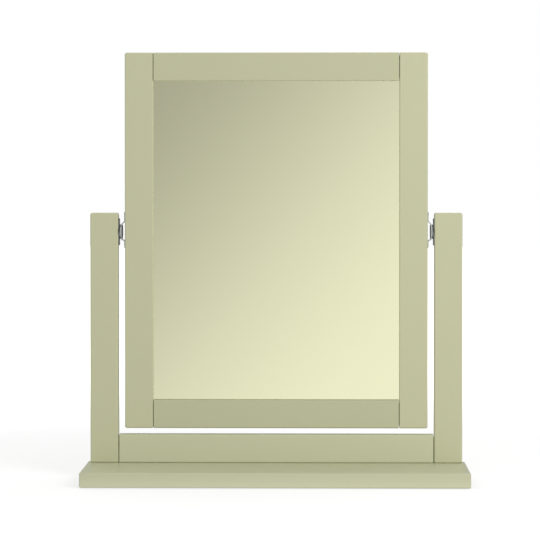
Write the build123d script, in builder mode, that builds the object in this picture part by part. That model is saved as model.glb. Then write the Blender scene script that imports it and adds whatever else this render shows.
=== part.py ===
from build123d import *
import os

# A dressing table mirror: a framed glass that tilts between two posts on a flat wooden base.
# Millimetres. X runs to the viewer's right, Y to the back, Z up. The origin is on the surface
# that the mirror stands on, under the middle of the base.

# Base board
base_width = 540.0
base_depth = 150.0
base_thickness = 20.5

# Posts, and the rail that stands on the base between them
post_width = 40.0
post_thickness = 20.0
post_height = 356.5
post_end_inset = 5.0
lower_rail_height = 40.5
lower_rail_thickness = 20.0

# Tilting frame, hung a little above its middle so that it settles upright
stile_width = 40.0
frame_rail_width = 40.0
frame_thickness = 20.0
frame_foot_gap = 9.0
pivot_below_post_top = 27.0
pivot_above_frame_middle = 12.5

# Glass and what holds it in from the back
glass_thickness = 4.0
packing_thickness = 2.0
panel_thickness = 3.0
panel_recess = 1.0
glass_overlap = 8.0
glass_play = 1.0
panel_overlap = 18.0
panel_play = 0.5
panel_corner_round = 3.0
glass_edge_chamfer = 0.5

# Paint-ready edges: worked arrises, and the shadow lines left open where members meet
edge_round = 2.0
corner_round = 3.0
sight_round = 1.0
end_ease = 0.4
foot_ease = 1.4
stand_joint_gap = 1.2
frame_joint_gap = 0.9
joint_gap_depth = 4.5

# Dowels, the same in every joint
dowel_diameter = 6.0
dowel_length = 30.0
dowel_chamfer = 0.8
dowel_end_play = 0.5
frame_dowel_spacing = 12.0
lower_rail_dowel_spacing = 18.0

# Countersunk screws: shank diameter, head diameter and length of each size
base_screw = (4.0, 8.0, 50.0)
hinge_screw = (3.0, 5.5, 16.0)
panel_screw = (3.0, 5.5, 12.0)
lower_rail_screw_spacing = 150.0
panel_screw_end_inset = 50.0
screw_tip_play = 0.5
head_angle = 90.0
recess_span = 0.62
recess_width = 0.18
recess_depth = 0.22

# Pivot hinge, as a stack of thin pieces between post and frame
plate_height = 38.0
plate_width = 16.0
plate_thickness = 1.5
plate_corner_round = 5.0
plate_screw_offset = 14.2
boss_diameter = 20.5
boss_rise = 1.4
friction_washer_diameter = 19.5
friction_washer_thickness = 0.8
bracket_thickness = 1.2
bracket_width = 16.0
bracket_upper_reach = 11.2
bracket_lower_reach = 11.8
bracket_upper_crank = 4.0
bracket_lower_crank = 1.1
bracket_bend = 2.0
bracket_upper_foot = 12.8
bracket_lower_foot = 10.5
bracket_end_round = 4.0
spring_washer_diameter = 20.0
spring_washer_thickness = 0.8
spring_washer_dish = 0.2
rivet_diameter = 6.0
rivet_back_head_diameter = 12.0
rivet_head_diameter = 7.4
spring_washer_to_frame = 3.4

# Felt pads under the base, set back far enough that the front edge hides them
pad_diameter = 16.0
pad_thickness = 1.0
pad_end_inset = 55.0
pad_front_inset = 22.0
pad_back_inset = 11.0

# Clearances: around screws, dowels and pins, and between faces that turn on each other
fit_clearance = 0.05
running_gap = 0.1

# Levels and planes that the pieces share
base_top = pad_thickness + base_thickness
base_back = base_depth / 2
post_top = base_top + post_height
post_outer = base_width / 2 - post_end_inset
post_inner = post_outer - post_width
upright_y = base_back - edge_round - post_thickness / 2
lower_rail_top = base_top + lower_rail_height
pivot_z = post_top - pivot_below_post_top

# Heights of the hinge stack above the face of the post
boss_face = plate_thickness + boss_rise
washer_face = boss_face + friction_washer_thickness
bracket_face = washer_face + running_gap
bracket_back = bracket_face + bracket_thickness
spring_back = bracket_back + spring_washer_thickness + spring_washer_dish
rivet_head_start = spring_back - (rivet_head_diameter - rivet_diameter) / 2
side_gap = spring_back + spring_washer_to_frame

# Frame, opening and the layers behind it
frame_outer = post_inner - side_gap
frame_bottom = lower_rail_top + frame_foot_gap
frame_middle = pivot_z - pivot_above_frame_middle
frame_height = 2 * (frame_middle - frame_bottom)
frame_top = frame_bottom + frame_height
frame_back = upright_y + frame_thickness / 2
opening_half = frame_outer - stile_width
opening_height = frame_height - 2 * frame_rail_width
panel_back = frame_back - panel_recess
panel_front = panel_back - panel_thickness
packing_front = panel_front - packing_thickness
glass_front = packing_front - glass_thickness
panel_screw_line = (glass_overlap + panel_overlap) / 2

os.makedirs("parts", exist_ok=True)


def countersunk_screw(size):
    """A screw with the face of its head at the origin and its point downwards."""
    shank_diameter, head_diameter, length = size
    head = head_diameter / 2
    shank = shank_diameter / 2
    with BuildPart() as screw:
        with BuildSketch(Plane.XZ):
            with BuildLine():
                Polyline(
                    (0, 0),
                    (head, 0),
                    (shank, shank - head),
                    (shank, shank_diameter - length),
                    (0, -length),
                    close=True,
                )
            make_face()
        revolve(axis=Axis.Z)
        with BuildSketch(Plane.XY):
            Rectangle(recess_span * head_diameter, recess_width * head_diameter)
            Rectangle(recess_width * head_diameter, recess_span * head_diameter)
        extrude(amount=-recess_depth * head_diameter, mode=Mode.SUBTRACT)
    return screw.part


def screw_hole(size):
    """Cut the seat and the pilot hole of a screw at each current location."""
    shank_diameter, head_diameter, length = size
    CounterSinkHole(
        radius=shank_diameter / 2 + fit_clearance,
        counter_sink_radius=head_diameter / 2 + fit_clearance,
        depth=length + screw_tip_play,
        counter_sink_angle=head_angle,
    )


def dowel_hole():
    """Cut one side of a dowel joint at each current location."""
    Hole(dowel_diameter / 2 + fit_clearance, dowel_length / 2 + dowel_end_play)


# Where the screws go through the base, seen from below: two into each post, outside the reach of
# the dowels, and three into the lower rail.
post_screw_zone = post_width - dowel_length / 2 - dowel_end_play
post_screw_near = post_outer - post_screw_zone * 3 / 4
post_screw_far = post_outer - post_screw_zone / 4


def under_base(x):
    """The plane of a screw head that is driven up through the base at x."""
    return Plane(origin=(x, upright_y, pad_thickness), z_dir=(0, 0, -1))


lower_rail_screw_planes = [under_base(n * lower_rail_screw_spacing) for n in (-1, 0, 1)]
post_screw_planes = {
    sign: [under_base(sign * post_screw_near), under_base(sign * post_screw_far)] for sign in (-1, 1)
}

with BuildPart() as base_board:
    with BuildSketch(Plane.XY.offset(pad_thickness)):
        Rectangle(base_width, base_depth)
    extrude(amount=base_thickness)
    fillet(base_board.edges(), edge_round)
    with Locations(*lower_rail_screw_planes, *post_screw_planes[-1], *post_screw_planes[1]):
        screw_hole(base_screw)
base_board.part.label = "base_board"
export_step(base_board.part, "parts/base_board.step")

for side, sign in (("left", -1), ("right", 1)):
    for end, pad_y in (("front", pad_front_inset - base_back), ("rear", base_back - pad_back_inset)):
        with BuildPart() as pad:
            with BuildSketch():
                with Locations((sign * (base_width / 2 - pad_end_inset), pad_y)):
                    Circle(pad_diameter / 2)
            extrude(amount=pad_thickness)
        pad.part.label = f"{end}_{side}_pad"
        export_step(pad.part, f"parts/{end}_{side}_pad.step")

# Stand: the lower rail, its screws and dowels
lower_rail_middle = base_top + lower_rail_height / 2
lower_rail_dowel_heights = [
    lower_rail_middle - lower_rail_dowel_spacing / 2,
    lower_rail_middle + lower_rail_dowel_spacing / 2,
]


def joint_planes(sign, x, heights):
    """Planes on the joint at x, facing the middle of the mirror, so that holes run outwards."""
    return [Plane(origin=(sign * x, upright_y, z), z_dir=(-sign, 0, 0)) for z in heights]


def turned_over(planes):
    """The same planes facing the other way, so that holes run towards the middle."""
    return [Plane(origin=plane.origin, z_dir=-plane.z_dir) for plane in planes]


with BuildPart() as lower_rail:
    with Locations((0, upright_y, lower_rail_middle)):
        Box(2 * (post_inner - stand_joint_gap), lower_rail_thickness, lower_rail_height)
    fillet(lower_rail.edges().filter_by(Axis.X).group_by(Axis.Z)[-1], edge_round)
    chamfer(lower_rail.edges().filter_by(Axis.X).group_by(Axis.Z)[0], foot_ease)
    chamfer(lower_rail.faces().filter_by(Axis.X).edges(), end_ease)
    with Locations((0, upright_y, lower_rail_middle - joint_gap_depth / 2)):
        Box(
            2 * post_inner,
            lower_rail_thickness - 2 * joint_gap_depth,
            lower_rail_height - joint_gap_depth,
        )
    with Locations(*lower_rail_screw_planes):
        screw_hole(base_screw)
    for sign in (-1, 1):
        with Locations(*turned_over(joint_planes(sign, post_inner, lower_rail_dowel_heights))):
            dowel_hole()
lower_rail.part.label = "lower_rail"
export_step(lower_rail.part, "parts/lower_rail.step")

base_screw_shape = countersunk_screw(base_screw)
with BuildPart() as lower_rail_screws:
    with Locations(*lower_rail_screw_planes):
        add(base_screw_shape)
lower_rail_screws.part.label = "lower_rail_screws"
export_step(lower_rail_screws.part, "parts/lower_rail_screws.step")

# Where the hinge screws go: above and below the pivot, into the post and into the stile
hinge_screw_shape = countersunk_screw(hinge_screw)
upper_foot_start = bracket_upper_reach + bracket_upper_crank
lower_foot_start = bracket_lower_reach + bracket_lower_crank
bracket_screw_heights = [
    pivot_z + upper_foot_start + bracket_upper_foot / 2,
    pivot_z - lower_foot_start - bracket_lower_foot / 2,
]
bracket_foot_face = side_gap - bracket_thickness


def plate_screw_planes(sign):
    """Planes of the two screw heads in a post plate."""
    heights = [pivot_z - plate_screw_offset, pivot_z + plate_screw_offset]
    return joint_planes(sign, post_inner - plate_thickness, heights)


def bracket_screw_planes(sign):
    """Planes of the two screw heads in the feet of a pivot bracket."""
    return turned_over(joint_planes(sign, post_inner - bracket_foot_face, bracket_screw_heights))


def broad_outline(member):
    """The edges round the front and back faces of an upright member."""
    broad_faces = member.faces().sort_by(Axis.Y)
    return broad_faces[0].edges() + broad_faces[-1].edges()


# Stand: each post with its screws, dowels and half of the hinge
for side, sign in (("left", -1), ("right", 1)):
    rail_joint = joint_planes(sign, post_inner, lower_rail_dowel_heights)

    with BuildPart() as post:
        with BuildSketch(Plane.XY.offset(base_top)):
            with Locations((sign * (post_outer + post_inner) / 2, upright_y)):
                Rectangle(post_width, post_thickness)
        extrude(amount=post_height)
        fillet(post.edges().group_by(Axis.Z)[-1].filter_by(Axis.Y), corner_round)
        fillet(broad_outline(post) - post.edges().group_by(Axis.Z)[0], edge_round)
        chamfer(post.faces().sort_by(Axis.Z)[0].edges(), foot_ease)
        with Locations(*post_screw_planes[sign]):
            screw_hole(base_screw)
        with Locations(*rail_joint):
            dowel_hole()
        with Locations(*plate_screw_planes(sign)):
            screw_hole(hinge_screw)
    post.part.label = f"{side}_post"
    export_step(post.part, f"parts/{side}_post.step")

    with BuildPart() as post_screws:
        with Locations(*post_screw_planes[sign]):
            add(base_screw_shape)
    post_screws.part.label = f"{side}_post_screws"
    export_step(post_screws.part, f"parts/{side}_post_screws.step")

    with BuildPart() as rail_dowels:
        with Locations(*rail_joint):
            Cylinder(dowel_diameter / 2, dowel_length)
        chamfer(rail_dowels.edges().filter_by(GeomType.CIRCLE), dowel_chamfer)
    rail_dowels.part.label = f"{side}_rail_dowels"
    export_step(rail_dowels.part, f"parts/{side}_rail_dowels.step")

    # The hinge is built outwards from the face of the post, on the axis that the frame turns about
    hinge = Plane(
        origin=(sign * post_inner, upright_y, pivot_z), x_dir=(0, 1, 0), z_dir=(-sign, 0, 0)
    )

    with BuildPart() as post_plate:
        with BuildSketch(hinge):
            RectangleRounded(plate_width, plate_height, plate_corner_round)
            Circle(boss_diameter / 2)
        extrude(amount=plate_thickness)
        with BuildSketch(hinge):
            Circle(boss_diameter / 2)
        extrude(amount=boss_face)
        with BuildSketch(hinge):
            Circle(rivet_back_head_diameter / 2 + fit_clearance)
        extrude(amount=boss_rise, mode=Mode.SUBTRACT)
        with BuildSketch(hinge):
            Circle(rivet_diameter / 2 + fit_clearance)
        extrude(amount=boss_face, mode=Mode.SUBTRACT)
        with Locations(*plate_screw_planes(sign)):
            screw_hole(hinge_screw)
    post_plate.part.label = f"{side}_post_plate"
    export_step(post_plate.part, f"parts/{side}_post_plate.step")

    with BuildPart() as post_plate_screws:
        with Locations(*plate_screw_planes(sign)):
            add(hinge_screw_shape)
    post_plate_screws.part.label = f"{side}_post_plate_screws"
    export_step(post_plate_screws.part, f"parts/{side}_post_plate_screws.step")

    # The rivet and the spring washer are turned about that axis, from profiles that start at the post
    through_hinge = Plane(origin=hinge.origin, x_dir=hinge.z_dir, z_dir=(0, -1, 0))
    hinge_axis = Axis(hinge.origin, hinge.z_dir)
    with BuildPart() as pivot_rivet:
        with BuildSketch(through_hinge):
            with BuildLine():
                Polyline(
                    (0, 0),
                    (0, rivet_back_head_diameter / 2),
                    (boss_rise, rivet_back_head_diameter / 2),
                    (boss_rise, rivet_diameter / 2),
                    (rivet_head_start, rivet_diameter / 2),
                    (spring_back, rivet_head_diameter / 2),
                    (spring_back, 0),
                    close=True,
                )
            make_face()
        revolve(axis=hinge_axis)
    pivot_rivet.part.label = f"{side}_pivot_rivet"
    export_step(pivot_rivet.part, f"parts/{side}_pivot_rivet.step")

    with BuildPart() as friction_washer:
        with BuildSketch(hinge.offset(boss_face)):
            Circle(friction_washer_diameter / 2)
            Circle(rivet_diameter / 2 + fit_clearance, mode=Mode.SUBTRACT)
        extrude(amount=friction_washer_thickness)
    friction_washer.part.label = f"{side}_friction_washer"
    export_step(friction_washer.part, f"parts/{side}_friction_washer.step")

    # A flat strip cranked towards the post in the middle, with a foot on the stile at each end: a
    # slanting crank above the axis and a nearly square one below it
    foot_x = sign * (post_inner - bracket_foot_face)
    flat_x = sign * (post_inner - bracket_face)
    with BuildPart() as pivot_bracket:
        with BuildSketch(Plane.XZ.offset(-upright_y)):
            with BuildLine():
                FilletPolyline(
                    (foot_x, pivot_z + upper_foot_start + bracket_upper_foot),
                    (foot_x, pivot_z + upper_foot_start),
                    (flat_x, pivot_z + bracket_upper_reach),
                    (flat_x, pivot_z - bracket_lower_reach),
                    (foot_x, pivot_z - lower_foot_start),
                    (foot_x, pivot_z - lower_foot_start - bracket_lower_foot),
                    radius=bracket_bend,
                )
                offset(amount=bracket_thickness, side=Side.LEFT if sign < 0 else Side.RIGHT)
            make_face()
        extrude(amount=bracket_width / 2, both=True)
        strip_ends = pivot_bracket.edges().filter_by(Axis.X)
        fillet(strip_ends.group_by(Axis.Z)[0] + strip_ends.group_by(Axis.Z)[-1], bracket_end_round)
        with Locations(hinge):
            Hole(rivet_diameter / 2 + fit_clearance)
        with Locations(*bracket_screw_planes(sign)):
            screw_hole(hinge_screw)
    pivot_bracket.part.label = f"{side}_pivot_bracket"
    export_step(pivot_bracket.part, f"parts/{side}_pivot_bracket.step")

    with BuildPart() as bracket_screws:
        with Locations(*bracket_screw_planes(sign)):
            add(hinge_screw_shape)
    bracket_screws.part.label = f"{side}_bracket_screws"
    export_step(bracket_screws.part, f"parts/{side}_bracket_screws.step")

    # A washer dished like a shallow cone, squeezed on the bracket by the rivet's head, which is sunk
    # flush in it
    washer_rim = spring_washer_diameter / 2
    washer_bore = rivet_diameter / 2 + fit_clearance
    washer_sink = rivet_head_diameter / 2 + fit_clearance
    with BuildPart() as spring_washer:
        with BuildSketch(through_hinge):
            with BuildLine():
                Polyline(
                    (bracket_back, washer_rim),
                    (bracket_back + spring_washer_thickness, washer_rim),
                    (spring_back, washer_sink),
                    (rivet_head_start, washer_bore),
                    (spring_back - spring_washer_thickness, washer_bore),
                    close=True,
                )
            make_face()
        revolve(axis=hinge_axis)
    spring_washer.part.label = f"{side}_spring_washer"
    export_step(spring_washer.part, f"parts/{side}_spring_washer.step")

# The stepped pocket that is cut in the back of the glued frame: deep for the glass and its
# packing, wider and shallower for the back panel
with BuildPart() as back_pocket:
    with BuildSketch(Plane.XZ.offset(-glass_front)):
        with Locations((0, frame_middle)):
            Rectangle(2 * (opening_half + glass_overlap), opening_height + 2 * glass_overlap)
    extrude(amount=glass_front - frame_back)
    with BuildSketch(Plane.XZ.offset(-panel_front)):
        with Locations((0, frame_middle)):
            Rectangle(2 * (opening_half + panel_overlap), opening_height + 2 * panel_overlap)
    extrude(amount=panel_front - frame_back)


def panel_screw_plane(x, z):
    """The plane of a screw head in the back panel, x and z from the middle of the opening."""
    return Plane(origin=(x, panel_back, frame_middle + z), z_dir=(0, 1, 0))


panel_screw_x = opening_half + panel_screw_line
panel_screw_z = opening_height / 2 + panel_screw_line
stile_screw_planes = {
    sign: [
        panel_screw_plane(sign * panel_screw_x, n * (opening_height / 2 - panel_screw_end_inset))
        for n in (-1, 0, 1)
    ]
    for sign in (-1, 1)
}
rail_screw_planes = {
    sign: [
        panel_screw_plane(n * (opening_half - panel_screw_end_inset), sign * panel_screw_z)
        for n in (-1, 0, 1)
    ]
    for sign in (-1, 1)
}
panel_screw_planes = [
    *stile_screw_planes[-1],
    *stile_screw_planes[1],
    *rail_screw_planes[-1],
    *rail_screw_planes[1],
]

# The dowels of a corner share the solid wood between the outer edge of a rail and its pocket
corner_dowel_line = (frame_rail_width - glass_overlap) / 2


def corner_dowel_heights(end):
    """Heights of the two dowels in the joints at the bottom (-1) or the top (1) of the frame."""
    line = frame_middle + end * (frame_height / 2 - corner_dowel_line)
    return [line - frame_dowel_spacing / 2, line + frame_dowel_spacing / 2]


def sight_edges(member, sign):
    """The edges of a stile's face beside the glass, which lies towards the middle of the mirror."""
    return member.faces().sort_by(Axis.X)[0 if sign > 0 else -1].edges()


# Frame: the stiles run the full height
for side, sign in (("left", -1), ("right", 1)):
    with BuildPart() as stile:
        with BuildSketch(Plane.XY.offset(frame_bottom)):
            with Locations((sign * (frame_outer - stile_width / 2), upright_y)):
                Rectangle(stile_width, frame_thickness)
        extrude(amount=frame_height)
        fillet(stile.edges().filter_by(Axis.Y) - sight_edges(stile, sign), corner_round)
        fillet(broad_outline(stile) - sight_edges(stile, sign), edge_round)
        fillet(sight_edges(stile, sign), sight_round)
        add(back_pocket.part, mode=Mode.SUBTRACT)
        for end in (-1, 1):
            with Locations(*joint_planes(sign, opening_half, corner_dowel_heights(end))):
                dowel_hole()
        with Locations(*bracket_screw_planes(sign)):
            screw_hole(hinge_screw)
        with Locations(*stile_screw_planes[sign]):
            screw_hole(panel_screw)
    stile.part.label = f"{side}_stile"
    export_step(stile.part, f"parts/{side}_stile.step")

# Frame: the rails fit between the stiles, with a shadow line at each end
for level, end in (("bottom", -1), ("top", 1)):
    rail_middle = frame_middle + end * (frame_height - frame_rail_width) / 2
    outer_side, sight_side = (0, -1) if end < 0 else (-1, 0)
    with BuildPart() as rail:
        with Locations((0, upright_y, rail_middle)):
            Box(2 * (opening_half - frame_joint_gap), frame_thickness, frame_rail_width)
        fillet(rail.edges().filter_by(Axis.X).group_by(Axis.Z)[outer_side], edge_round)
        fillet(rail.edges().filter_by(Axis.X).group_by(Axis.Z)[sight_side], sight_round)
        chamfer(rail.faces().filter_by(Axis.X).edges(), end_ease)
        with Locations((0, upright_y, rail_middle)):
            Box(
                2 * opening_half,
                frame_thickness - 2 * joint_gap_depth,
                frame_rail_width - 2 * joint_gap_depth,
            )
        add(back_pocket.part, mode=Mode.SUBTRACT)
        for sign in (-1, 1):
            dowels = joint_planes(sign, opening_half, corner_dowel_heights(end))
            with Locations(*turned_over(dowels)):
                dowel_hole()
        with Locations(*rail_screw_planes[end]):
            screw_hole(panel_screw)
    rail.part.label = f"{level}_rail"
    export_step(rail.part, f"parts/{level}_rail.step")

    for side, sign in (("left", -1), ("right", 1)):
        with BuildPart() as corner_dowels:
            with Locations(*joint_planes(sign, opening_half, corner_dowel_heights(end))):
                Cylinder(dowel_diameter / 2, dowel_length)
            chamfer(corner_dowels.edges().filter_by(GeomType.CIRCLE), dowel_chamfer)
        corner_dowels.part.label = f"{level}_{side}_dowels"
        export_step(corner_dowels.part, f"parts/{level}_{side}_dowels.step")

# Frame: glass, packing sheet, back panel and its screws
glass_width = 2 * (opening_half + glass_overlap - glass_play)
glass_height = opening_height + 2 * (glass_overlap - glass_play)
with BuildPart() as mirror_glass:
    with BuildSketch(Plane.XZ.offset(-glass_front)):
        with Locations((0, frame_middle)):
            Rectangle(glass_width, glass_height)
    extrude(amount=glass_front - packing_front)
    chamfer(mirror_glass.edges(), glass_edge_chamfer)
mirror_glass.part.label = "mirror_glass"
export_step(mirror_glass.part, "parts/mirror_glass.step")

with BuildPart() as packing_sheet:
    with BuildSketch(Plane.XZ.offset(-packing_front)):
        with Locations((0, frame_middle)):
            Rectangle(glass_width, glass_height)
    extrude(amount=packing_front - panel_front)
packing_sheet.part.label = "packing_sheet"
export_step(packing_sheet.part, "parts/packing_sheet.step")

with BuildPart() as back_panel:
    with BuildSketch(Plane.XZ.offset(-panel_front)):
        with Locations((0, frame_middle)):
            RectangleRounded(
                2 * (opening_half + panel_overlap - panel_play),
                opening_height + 2 * (panel_overlap - panel_play),
                panel_corner_round,
            )
    extrude(amount=panel_front - panel_back)
    with Locations(*panel_screw_planes):
        screw_hole(panel_screw)
back_panel.part.label = "back_panel"
export_step(back_panel.part, "parts/back_panel.step")

panel_screw_shape = countersunk_screw(panel_screw)
with BuildPart() as back_panel_screws:
    with Locations(*panel_screw_planes):
        add(panel_screw_shape)
back_panel_screws.part.label = "back_panel_screws"
export_step(back_panel_screws.part, "parts/back_panel_screws.step")
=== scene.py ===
# %% [markdown]
# # A painted dressing table mirror
#
# The real object is a flat wooden board with two posts near its back edge, and a framed glass that
# tilts between them on two small riveted hinges. Every piece of it is rigid, so all its shapes were
# drawn to size in CAD. This lesson loads them, gives each piece the finish of the real one, and
# builds the studio in which it is seen.

# %% Load the frame
import math

import bmesh
import bpy
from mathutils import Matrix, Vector


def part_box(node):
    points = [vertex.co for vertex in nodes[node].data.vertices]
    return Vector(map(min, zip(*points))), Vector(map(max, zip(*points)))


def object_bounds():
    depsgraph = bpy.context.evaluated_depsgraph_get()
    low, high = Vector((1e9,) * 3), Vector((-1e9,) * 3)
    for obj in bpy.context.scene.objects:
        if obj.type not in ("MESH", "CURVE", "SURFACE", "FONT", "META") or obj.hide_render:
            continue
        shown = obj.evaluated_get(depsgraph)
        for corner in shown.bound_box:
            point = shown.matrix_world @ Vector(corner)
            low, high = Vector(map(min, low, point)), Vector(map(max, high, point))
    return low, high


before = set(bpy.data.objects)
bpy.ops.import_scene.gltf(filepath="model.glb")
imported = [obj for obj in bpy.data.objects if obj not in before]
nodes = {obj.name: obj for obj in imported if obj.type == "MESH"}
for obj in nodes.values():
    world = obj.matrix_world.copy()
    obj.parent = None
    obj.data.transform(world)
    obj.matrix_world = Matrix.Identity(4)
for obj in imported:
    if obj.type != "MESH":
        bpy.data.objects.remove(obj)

cad_low, cad_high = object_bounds()
print("pieces loaded:", len(nodes))
print("size in mm:", [round(1000 * side) for side in cad_high - cad_low])

# %% [markdown]
# ## The camera
#
# A product photograph like this one is taken from several metres away with a long lens, so that
# edges of the object that are parallel look nearly so. A short lens close by would make the front
# of the board look far wider than its back. The lens and the place were worked out from the edges
# of the object in the photograph, above all from how fast the board shrinks with depth. The
# horizon lies above the middle of the picture. Tilting the camera down for all of that would make
# the posts lean together, and shifting the lens for all of it would push the object out of other
# views, so each does about half.

# %% Camera
base_low, base_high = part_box("base_board")
CAMERA_DISTANCE = 3.548
CAMERA_HEIGHT = 0.4305
CAMERA_TO_THE_RIGHT = 0.053
CAMERA_TURN = 0.0168
SENSOR_WIDTH = 36.0
LENS_LENGTH = 172.3
HORIZON_ABOVE_MIDDLE = 0.1754
LENS_SHIFT = 0.08

camera_data = bpy.data.cameras.new("camera")
camera_data.sensor_width = SENSOR_WIDTH
camera_data.lens = LENS_LENGTH
camera_data.shift_y = -LENS_SHIFT
camera_tilt = math.atan((HORIZON_ABOVE_MIDDLE - LENS_SHIFT) * SENSOR_WIDTH / LENS_LENGTH)
camera = bpy.data.objects.new("camera", camera_data)
camera.location = (
    CAMERA_TO_THE_RIGHT,
    base_low.y - CAMERA_DISTANCE,
    base_low.z + CAMERA_HEIGHT,
)
camera.rotation_euler = (math.radians(90) - camera_tilt, 0, CAMERA_TURN)
bpy.context.scene.collection.objects.link(camera)
bpy.context.scene.camera = camera
bpy.context.scene.view_settings.view_transform = "Standard"
print("the base board is", round(1000 * (base_high.y - base_low.y)), "mm deep")
print("camera tilts down by", round(math.degrees(camera_tilt), 2), "degrees")

# %% [markdown]
# ## Writing shaders as sums
#
# A finish is a little network of shader nodes. Wiring each Math node by hand hides the idea behind
# ten lines of plumbing, so one small class stands for the output of a node. Adding or multiplying
# two of them makes the Math node that does it, and the method `node` makes any other kind. Before
# it can plug a value in, it has to find the socket. Some nodes have several sockets of one name,
# so identifiers count as well.

# %% Finding a socket
def find_socket(sockets, key):
    """A socket by its number, its name or its identifier."""
    if isinstance(key, int):
        return sockets[key]
    return next(socket for socket in sockets if key in (socket.identifier, socket.name))


print("a socket is found by its number, name or identifier")

# %% [markdown]
# The class keeps the tree beside the socket, so that a sum knows where to put its new node. A flow
# without a socket is the start of a tree, from which the first patterns are made.

# %% A class for shader values
class Flow:
    """One output of a shader node. Arithmetic on flows adds Math nodes to their tree."""

    def __init__(self, tree, socket=None):
        self.tree = tree
        self.socket = socket

    def node(self, kind, inputs=None, output=0, **settings):
        """Add a node: its settings first, then a value or a link for each named input."""
        made = self.tree.nodes.new(kind)
        for name, value in settings.items():
            setattr(made, name, value)
        for key, value in (inputs or {}).items():
            self.plug(find_socket(made.inputs, key), value)
        return Flow(self.tree, find_socket(made.outputs, output))

    def plug(self, socket, value):
        """Link a flow to a socket, or write a plain value into it."""
        if isinstance(value, Flow):
            self.tree.links.new(value.socket, socket)
        else:
            socket.default_value = value

    def maths(self, operation, *values):
        return self.node("ShaderNodeMath", dict(enumerate(values)), operation=operation)

    def __add__(self, other):
        return self.maths("ADD", self, other)

    def __radd__(self, other):
        return self.maths("ADD", other, self)

    def __sub__(self, other):
        return self.maths("SUBTRACT", self, other)

    def __rsub__(self, other):
        return self.maths("SUBTRACT", other, self)

    def __mul__(self, other):
        return self.maths("MULTIPLY", self, other)

    def __rmul__(self, other):
        return self.maths("MULTIPLY", other, self)

    def __abs__(self):
        return self.maths("ABSOLUTE", self)


print("methods of a flow:", [name for name in vars(Flow) if not name.startswith("_")])

# %% [markdown]
# ## Patterns that every finish shares
#
# Real surfaces are never one colour or one gloss. Each finish below starts from noise that is read
# in Object coordinates, in metres, so a pattern keeps its real scale and doesn't slide when the
# frame tilts. Stretching the coordinates turns round spots into streaks, which is how wood grain
# and brush marks are made.

# %% Noise at its real scale
ROUND_SPOTS = (1, 1, 1)


def noise(flow, per_metre, detail=2.0, stretch=ROUND_SPOTS, roughness=0.5):
    """Noise between 0 and 1 with this many features per metre, times the stretch of each axis."""
    place = flow.node("ShaderNodeTexCoord", output="Object")
    stretched = flow.node("ShaderNodeMapping", {"Vector": place, "Scale": stretch})
    return flow.node(
        "ShaderNodeTexNoise",
        {"Vector": stretched, "Scale": per_metre, "Detail": detail, "Roughness": roughness},
    )


print("noise is stretched by", ROUND_SPOTS, "unless a finish says otherwise")

# %% [markdown]
# A pattern does three things to a surface: it moves the colour between two shades, it makes the
# surface a little rougher and smoother, and it makes it seem to rise and sink by a fraction of a
# millimetre. One helper does each. A Math node would turn a colour grey, so colours go through Mix.

# %% Colour, gloss and relief
MICRON = 0.000001


def opaque(colour):
    """A plain colour with an alpha of 1 added. A flow stays as it is."""
    return colour if isinstance(colour, Flow) else (*colour, 1)


def between(flow, low, high, share):
    """The colour that lies this share of the way from low to high."""
    return flow.node(
        "ShaderNodeMix",
        {"Factor_Float": share, "A_Color": opaque(low), "B_Color": opaque(high)},
        output="Result_Color",
        data_type="RGBA",
    )


def around(middle, spread, pattern):
    """A number that a pattern moves by up to half the spread to either side of its middle."""
    return middle - spread / 2 + spread * pattern


def bumped(flow, height, relief):
    """A normal tilted by a height pattern that is this deep, in metres."""
    return flow.node("ShaderNodeBump", {"Height": height, "Distance": relief, "Strength": 1.0})


print("a middle grey with its alpha:", opaque((0.5, 0.5, 0.5)))

# %% [markdown]
# Each CAD piece comes with one slot and a plain material in it. A finish replaces that material
# and leaves the mesh alone. Most pieces come in pairs, and their names differ in the side.

# %% Giving a finish to pieces
def empty_material(name):
    """A material with only its Principled shader, and a flow to start its patterns from."""
    material = bpy.data.materials.new(name)
    material.use_nodes = True
    shader = material.node_tree.nodes["Principled BSDF"]
    return material, shader, Flow(material.node_tree)


def finish_nodes(names, material):
    """Give CAD nodes their material."""
    for name in names:
        nodes[name].material_slots[0].material = material
    print(material.name, "on", len(names), "nodes")


def both(*pieces):
    """The names of the left and the right one of each piece."""
    return [f"{side}_{piece}" for piece in pieces for side in ("left", "right")]


print("posts and stiles:", both("post", "stile"))

# %% [markdown]
# ## Satin paint over wood
#
# The timber is sprayed with an opaque sage green, rubbed down and sprayed again. What is left of
# the wood is a very faint grain under the film. The film itself has the fine dimples that sprayers
# call orange peel, and it is a touch lighter and darker from place to place.

# %% Paint
PAINT_LIGHT = (0.530, 0.530, 0.346)
PAINT_DARK = (0.504, 0.506, 0.326)
PAINT_ROUGHNESS = 0.32
PAINT_ROUGHNESS_SPREAD = 0.08
CLOUDS_PER_METRE = 5.0
PEEL_PER_METRE = 700.0
GRAIN_IN_COLOUR = 0.25
PEEL_IN_RELIEF = 0.3
PAINT_RELIEF = 30 * MICRON


def toned(colour, tone):
    """A colour with each channel made this many times lighter."""
    return tuple(share * channel for share, channel in zip(tone, colour))


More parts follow.
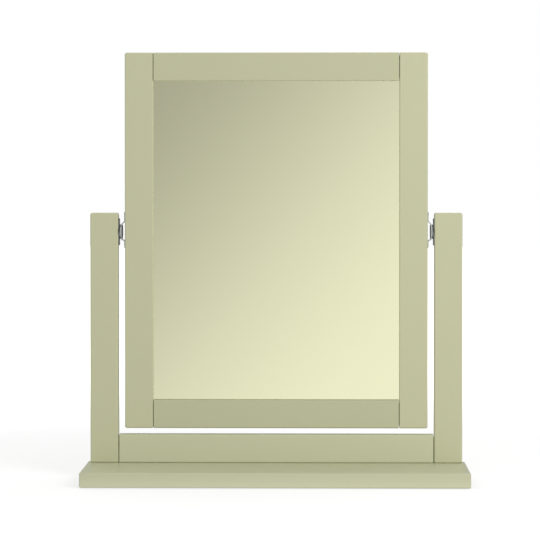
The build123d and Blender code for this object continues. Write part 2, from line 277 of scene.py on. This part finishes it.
def satin_paint(name, grain_stretch, tone=(1.0, 1.0, 1.0)):
    material, shader, flow = empty_material(name)
    clouds = noise(flow, CLOUDS_PER_METRE, detail=3.0)
    grain = noise(flow, 1.0, detail=4.0, stretch=grain_stretch)
    peel = noise(flow, PEEL_PER_METRE, detail=1.0)
    streaks = (1 - GRAIN_IN_COLOUR) * clouds + GRAIN_IN_COLOUR * grain
    # The tone makes a lit or a shaded copy of the paint: painted light and shade.
    colour = between(flow, toned(PAINT_DARK, tone), toned(PAINT_LIGHT, tone), streaks)
    gloss = around(PAINT_ROUGHNESS, PAINT_ROUGHNESS_SPREAD, clouds)
    film = (1 - PEEL_IN_RELIEF) * grain + PEEL_IN_RELIEF * peel
    flow.plug(shader.inputs["Base Color"], colour)
    flow.plug(shader.inputs["Roughness"], gloss)
    flow.plug(shader.inputs["Normal"], bumped(flow, film, PAINT_RELIEF))
    return material


print("the dimples of the paint are", round(1000 / PEEL_PER_METRE, 1), "mm apart")

# %% [markdown]
# Grain runs along a member, so upright and level members need the same paint with the streaks
# turned. The rails and the base get copies of the paint, each a shade apart from the posts. That is
# painted light and shade: the lower rail is lighter, and the base and the frame's rails are darker.

# %% Painted members
GRAIN_ACROSS = 240.0
GRAIN_ALONG = 5.0
UPRIGHT_GRAIN = (GRAIN_ACROSS, GRAIN_ACROSS, GRAIN_ALONG)
LEVEL_GRAIN = (GRAIN_ALONG, GRAIN_ACROSS, GRAIN_ACROSS)
# Painted light and shade: each tone is a lighter or darker copy of the paint for one member,
# standing in for how much light falls on it.
PAINTED_LIGHT_AND_SHADE_TONES = {
    "base_board": (0.933, 0.935, 0.968),
    "lower_rail": (1.04, 1.048, 1.078),
    "top_rail": (0.95, 0.95, 0.95),
    "bottom_rail": (0.93, 0.936, 0.942),
}
finish_nodes(both("post", "stile"), satin_paint("paint_upright", UPRIGHT_GRAIN))
for member, painted_light_and_shade_tone in PAINTED_LIGHT_AND_SHADE_TONES.items():
    finish_nodes([member], satin_paint(f"paint_{member}", LEVEL_GRAIN, painted_light_and_shade_tone))

# %% [markdown]
# ## The mirror glass
#
# A mirror is float glass with a film of silver on its back. Almost all that is seen is the silver,
# so a metal with hardly any roughness is enough, and it keeps working in any renderer. A sheet of
# glass in front of a metal plate would show the same at a much higher cost. The reflection in the
# photograph is a little yellow, so the metal gives back less blue than red and green.

# %% Silvered glass
SILVER = (0.90, 0.90, 0.682)
SILVER_IN_HAZE = (0.89, 0.89, 0.674)
HAZE_PER_METRE = 60.0
HAZE_ROUGHNESS = 0.012


def silvered_glass():
    material, shader, flow = empty_material("silvered_glass")
    haze = noise(flow, HAZE_PER_METRE, detail=3.0)
    flow.plug(shader.inputs["Base Color"], between(flow, SILVER, SILVER_IN_HAZE, haze))
    shader.inputs["Metallic"].default_value = 1.0
    flow.plug(shader.inputs["Roughness"], HAZE_ROUGHNESS * haze)
    return material


finish_nodes(["mirror_glass"], silvered_glass())

# %% [markdown]
# ## The metals of the hinges
#
# The brackets and rivets are plated steel, blanked from strip, so they carry the fine scratches of
# rolling. The plates on the posts and the dished washers are blackened steel, and the screws are
# zinc plated. One recipe makes all of them: a metal whose roughness and tone wander with fine
# scratches.

# %% A recipe for metals
BLOOM_PER_METRE = 220.0
METAL_ROUGHNESS_SPREAD = 0.16


def metal(name, dark, light, roughness, scratches_per_metre, relief):
    """A metal. The scratches are counted along each axis, so that they can be streaks."""
    material, shader, flow = empty_material(name)
    scratches = noise(flow, 1.0, detail=3.0, stretch=scratches_per_metre)
    bloom = noise(flow, BLOOM_PER_METRE)
    tone = 0.5 * scratches + 0.5 * bloom
    flow.plug(shader.inputs["Base Color"], between(flow, dark, light, tone))
    shader.inputs["Metallic"].default_value = 1.0
    flow.plug(shader.inputs["Roughness"], around(roughness, METAL_ROUGHNESS_SPREAD, scratches))
    flow.plug(shader.inputs["Normal"], bumped(flow, scratches, relief))
    return material


print("the roughness of a metal moves by", METAL_ROUGHNESS_SPREAD / 2, "each way")

# %% [markdown]
# The strip lies upright on the posts and stiles, so its rolling marks are close together across
# and long in height.

# %% Metals of the strip
STRIP_STREAKS = (4000.0, 4000.0, 120.0)
plated_steel = metal(
    "plated_steel",
    dark=(0.44, 0.47, 0.48),
    light=(0.62, 0.65, 0.66),
    roughness=0.30,
    scratches_per_metre=STRIP_STREAKS,
    relief=4 * MICRON,
)
black_steel = metal(
    "black_steel",
    dark=(0.09, 0.095, 0.10),
    light=(0.27, 0.28, 0.29),
    roughness=0.36,
    scratches_per_metre=STRIP_STREAKS,
    relief=6 * MICRON,
)
finish_nodes(both("pivot_bracket", "pivot_rivet"), plated_steel)
finish_nodes(both("post_plate"), black_steel)

# %% [markdown]
# Two more metals are needed: the spring steel of the dished washers, nearly black from hardening,
# and the pale zinc of the screws. Both are tumbled in a drum when they are made, so their marks
# run every way.

# %% Metals of the washers and screws
spring_steel = metal(
    "spring_steel",
    dark=(0.03, 0.032, 0.035),
    light=(0.075, 0.08, 0.085),
    roughness=0.38,
    scratches_per_metre=(900, 900, 900),
    relief=6 * MICRON,
)
zinc = metal(
    "zinc",
    dark=(0.58, 0.57, 0.50),
    light=(0.74, 0.74, 0.70),
    roughness=0.34,
    scratches_per_metre=(1500, 1500, 1500),
    relief=6 * MICRON,
)
hinge_and_post_screws = both("post_plate_screws", "bracket_screws", "post_screws")
finish_nodes(both("spring_washer"), spring_steel)
finish_nodes(hinge_and_post_screws + ["lower_rail_screws", "back_panel_screws"], zinc)

# %% [markdown]
# ## Plastics, boards and felt
#
# The rest are dull: a pattern of fibres or specks, and no metal under it. One recipe makes all of
# them too. Felt and packing have loose fibres that catch light at a low angle, which is the sheen.

# %% A recipe for dull materials
DULL_ROUGHNESS_SPREAD = 0.12


def dull(name, dark, light, roughness, per_metre, relief, stretch=ROUND_SPOTS, sheen=0.0):
    material, shader, flow = empty_material(name)
    pattern = noise(flow, per_metre, detail=5.0, stretch=stretch, roughness=0.65)
    flow.plug(shader.inputs["Base Color"], between(flow, dark, light, pattern))
    flow.plug(shader.inputs["Roughness"], around(roughness, DULL_ROUGHNESS_SPREAD, pattern))
    flow.plug(shader.inputs["Normal"], bumped(flow, pattern, relief))
    shader.inputs["Sheen Weight"].default_value = sheen
    return material


print("the roughness of a dull material moves by", DULL_ROUGHNESS_SPREAD / 2, "each way")

# %% [markdown]
# The friction washers of the hinges are milky nylon. The back panel is hardboard: pressed brown
# fibre, smooth and a little shiny on its good side.

# %% Nylon and hardboard
nylon = dull(
    "nylon",
    dark=(0.66, 0.72, 0.72),
    light=(0.76, 0.81, 0.80),
    roughness=0.42,
    per_metre=500,
    relief=5 * MICRON,
)
hardboard = dull(
    "hardboard",
    dark=(0.22, 0.125, 0.062),
    light=(0.40, 0.255, 0.145),
    roughness=0.50,
    per_metre=900,
    relief=20 * MICRON,
)
finish_nodes(both("friction_washer"), nylon)
finish_nodes(["back_panel"], hardboard)

# %% [markdown]
# Between the panel and the glass lies a grey packing sheet. The dowels are bare beech, whose grain
# is long and thin, and the pads under the base are felt, whose matted fibres show as soft lumps.

# %% Packing, beech and felt
packing = dull(
    "packing",
    dark=(0.20, 0.20, 0.195),
    light=(0.36, 0.36, 0.35),
    roughness=0.9,
    per_metre=800,
    relief=100 * MICRON,
    sheen=0.3,
)
beech = dull(
    "beech",
    dark=(0.42, 0.27, 0.15),
    light=(0.66, 0.47, 0.30),
    roughness=0.6,
    per_metre=1.0,
    relief=30 * MICRON,
    stretch=(40, 900, 900),
)
felt = dull(
    "felt",
    dark=(0.14, 0.125, 0.11),
    light=(0.34, 0.31, 0.27),
    roughness=0.95,
    per_metre=1200,
    relief=200 * MICRON,
    sheen=0.4,
)
frame_dowels = [f"{level}_{dowels}" for level in ("top", "bottom") for dowels in both("dowels")]
pads = [f"{end}_{pad}" for end in ("front", "rear") for pad in both("pad")]
finish_nodes(["packing_sheet"], packing)
finish_nodes(both("rail_dowels") + frame_dowels, beech)
finish_nodes(pads, felt)

# %% [markdown]
# ## The floor
#
# The photograph has a white ground. A plain floor takes the soft shadow under the object. Only
# reflections leave it out: the glass and the paint reflect the room, which is made further on,
# below the horizon as well as above it.

# %% Floor sheet
FLOOR_SIZE = 24.0


def build_floor():
    mesh = bpy.data.meshes.new("floor")
    sheet = bmesh.new()
    bmesh.ops.create_grid(sheet, x_segments=1, y_segments=1, size=FLOOR_SIZE / 2)
    sheet.to_mesh(mesh)
    sheet.free()
    floor = bpy.data.objects.new("floor", mesh)
    bpy.context.scene.collection.objects.link(floor)
    floor.visible_glossy = False
    return floor


floor = build_floor()
print("floor", FLOOR_SIZE, "m across")

# %% [markdown]
# Away from the object the floor fades to pure white for the camera, so that no edge shows where it
# ends. What the camera sees is also brighter than what the floor throws back on the object. A floor
# as bright as it looks would light the undersides of the rails and the base as much as their faces.

# %% Floor finish
SHOWN_TONE = 0.45
SHOWN_GLOW = 0.55
BOUNCE_TONE = 0.15
BOUNCE_GLOW = 0.39
WHITE_GLOW = 1.1
WHITE_FROM = 0.7
WHITE_BY = 2.0


def grey(flow, value):
    """A grey colour from one number."""
    return flow.node("ShaderNodeCombineColor", {"Red": value, "Green": value, "Blue": value})


def rise(flow, value, start, end, course="SMOOTHSTEP"):
    """A number that goes from 0 to 1 while the value goes from start to end."""
    return flow.node(
        "ShaderNodeMapRange",
        {"Value": value, "From Min": start, "From Max": end},
        interpolation_type=course,
    )


def floor_material():
    material, shader, flow = empty_material("floor")
    place = flow.node("ShaderNodeTexCoord", output="Object")
    distance = flow.node("ShaderNodeVectorMath", {0: place}, output="Value", operation="LENGTH")
    away = rise(flow, distance, WHITE_FROM, WHITE_BY)
    seen = flow.node("ShaderNodeLightPath", output="Is Camera Ray")
    tone = BOUNCE_TONE + (SHOWN_TONE - BOUNCE_TONE) * seen
    shown = SHOWN_GLOW + (WHITE_GLOW - SHOWN_GLOW) * away
    glow = seen * shown + (1.0 - seen) * BOUNCE_GLOW
    flow.plug(shader.inputs["Base Color"], grey(flow, tone))
    flow.plug(shader.inputs["Emission Color"], grey(flow, glow))
    shader.inputs["Emission Strength"].default_value = 1.0
    shader.inputs["Roughness"].default_value = 0.9
    shader.inputs["Specular IOR Level"].default_value = 0.0
    return material


floor.data.materials.append(floor_material())
print("the floor turns white from", WHITE_FROM, "to", WHITE_BY, "m away")

# %% [markdown]
# ## The room in the glass
#
# To the camera the surroundings are white. The glass and the satin paint see something else: the
# shaded side of a studio to the left and above, and the lit side to the right and below, with a
# soft border about ten degrees wide. Seen in the mirror, that border is the slanting change of
# tone on the glass.

# %% The shaded and the lit side
ROOM_SHADE = 0.414
ROOM_LIGHT = 0.965
ROOM_TINT = (1.0, 0.99, 0.90)
BORDER_START = 0.533
BORDER_ACROSS = 4.367
BORDER_UPWARDS = -3.702


def shaded_and_lit(flow, across, height):
    """The colour of the studio in front of the object, by the direction of a reflection."""
    slope = BORDER_START + BORDER_ACROSS * across + BORDER_UPWARDS * height
    shade = [ROOM_SHADE * channel for channel in ROOM_TINT]
    light = [ROOM_LIGHT * channel for channel in ROOM_TINT]
    return between(flow, shade, light, rise(flow, slope, 0.0, 1.0))


border_width = math.degrees(1 / math.hypot(BORDER_ACROSS, BORDER_UPWARDS))
print("the border is", round(border_width, 1), "degrees wide")

# %% [markdown]
# Further round to either side both run into white walls, so that the mirror looks silvery from
# there, and behind the object the room is a plain grey.

# %% The whole room
SIDE_WALL = (0.92, 0.93, 0.96)
SIDE_WALL_FROM = 0.2
SIDE_WALL_BY = 0.65
BACKGROUND_GREY = (0.43, 0.465, 0.41)
BACKGROUND_BORDER = 0.15


def whole_room(flow):
    """What a reflection shows in each direction."""
    direction = flow.node("ShaderNodeTexCoord", output="Generated")
    across, depth, height = [
        flow.node("ShaderNodeSeparateXYZ", {0: direction}, output=axis) for axis in "XYZ"
    ]
    aside = rise(flow, abs(across), SIDE_WALL_FROM, SIDE_WALL_BY)
    front = between(flow, shaded_and_lit(flow, across, height), SIDE_WALL, aside)
    behind = rise(flow, depth, -BACKGROUND_BORDER, BACKGROUND_BORDER, course="LINEAR")
    return between(flow, front, BACKGROUND_GREY, behind)


wall_angles = [round(math.degrees(math.asin(side))) for side in (SIDE_WALL_FROM, SIDE_WALL_BY)]
print("the room turns into white walls between", wall_angles, "degrees to the side")

# %% [markdown]
# Matt surfaces get an even white light from all round, as in the tent of thin cloth that
# photographers put round small shiny objects. The world can tell the kinds of ray apart: glossy
# rays see the room, camera rays see white, and all others see the tent.

# %% World
AMBIENT = 0.875
TENT = (AMBIENT, AMBIENT, AMBIENT)
WHITE = (1, 1, 1)


def build_world():
    world = bpy.data.worlds.new("studio")
    bpy.context.scene.world = world
    world.use_nodes = True
    flow = Flow(world.node_tree)
    glossy = flow.node("ShaderNodeLightPath", output="Is Glossy Ray")
    seen = flow.node("ShaderNodeLightPath", output="Is Camera Ray")
    lighting = between(flow, TENT, whole_room(flow), glossy)
    shown = between(flow, lighting, WHITE, seen)
    flow.plug(world.node_tree.nodes["Background"].inputs["Color"], shown)
    return world


world = build_world()
print("world", world.name, "has", len(world.node_tree.nodes), "nodes")

# %% [markdown]
# ## Lamps
#
# The even light of the tent does most of the work. A soft box close by, high in front and to the
# right, adds to it, as the brighter right side and the brighter tops of the posts show. A weak one
# behind the object helps the views from there. The size of the boxes keeps the shadows soft. The
# glossy finishes take their highlights from the room, so the lamps are hidden from reflections
# and no bright square shows in the glass when it tilts.

# %% Soft boxes
def soft_box(name, place, target, size, watts):
    """A square area lamp that points at its target and doesn't show in reflections."""
    data = bpy.data.lights.new(name, "AREA")
    data.shape = "SQUARE"
    data.size = size
    data.energy = watts
    lamp = bpy.data.objects.new(name, data)
    lamp.location = place
    lamp.rotation_euler = (Vector(target) - Vector(place)).to_track_quat("-Z", "Y").to_euler()
    lamp.visible_glossy = False
    bpy.context.scene.collection.objects.link(lamp)
    print(name, "at", place, "with", watts, "W")
    return lamp


middle = (0, 0, (cad_low.z + cad_high.z) / 2)
soft_box("key", place=(0.9, -1.3, 0.95), target=middle, size=0.8, watts=12.0)
soft_box("back fill", place=(-0.8, 2.8, 1.4), target=middle, size=1.4, watts=10.0)

# %% [markdown]
# The front edge of the base is lightest at its foot. There a photographer lays a white card on the
# table, and here a thin lamp on the floor, unseen by the camera, does the same.

# %% Card before the base
CARD_LENGTH = 0.70
CARD_DEPTH = 0.02
CARD_BEFORE_BASE = 0.010
CARD_LIFT = 0.0004
CARD_WATTS = 0.0222
card_y = base_low.y - CARD_BEFORE_BASE
card = soft_box(
    "card",
    place=(0, card_y, CARD_LIFT),
    target=(0, card_y, 1),
    size=CARD_LENGTH,
    watts=CARD_WATTS,
)
card.data.shape = "RECTANGLE"
card.data.size_y = CARD_DEPTH
card.visible_camera = False

# %% [markdown]
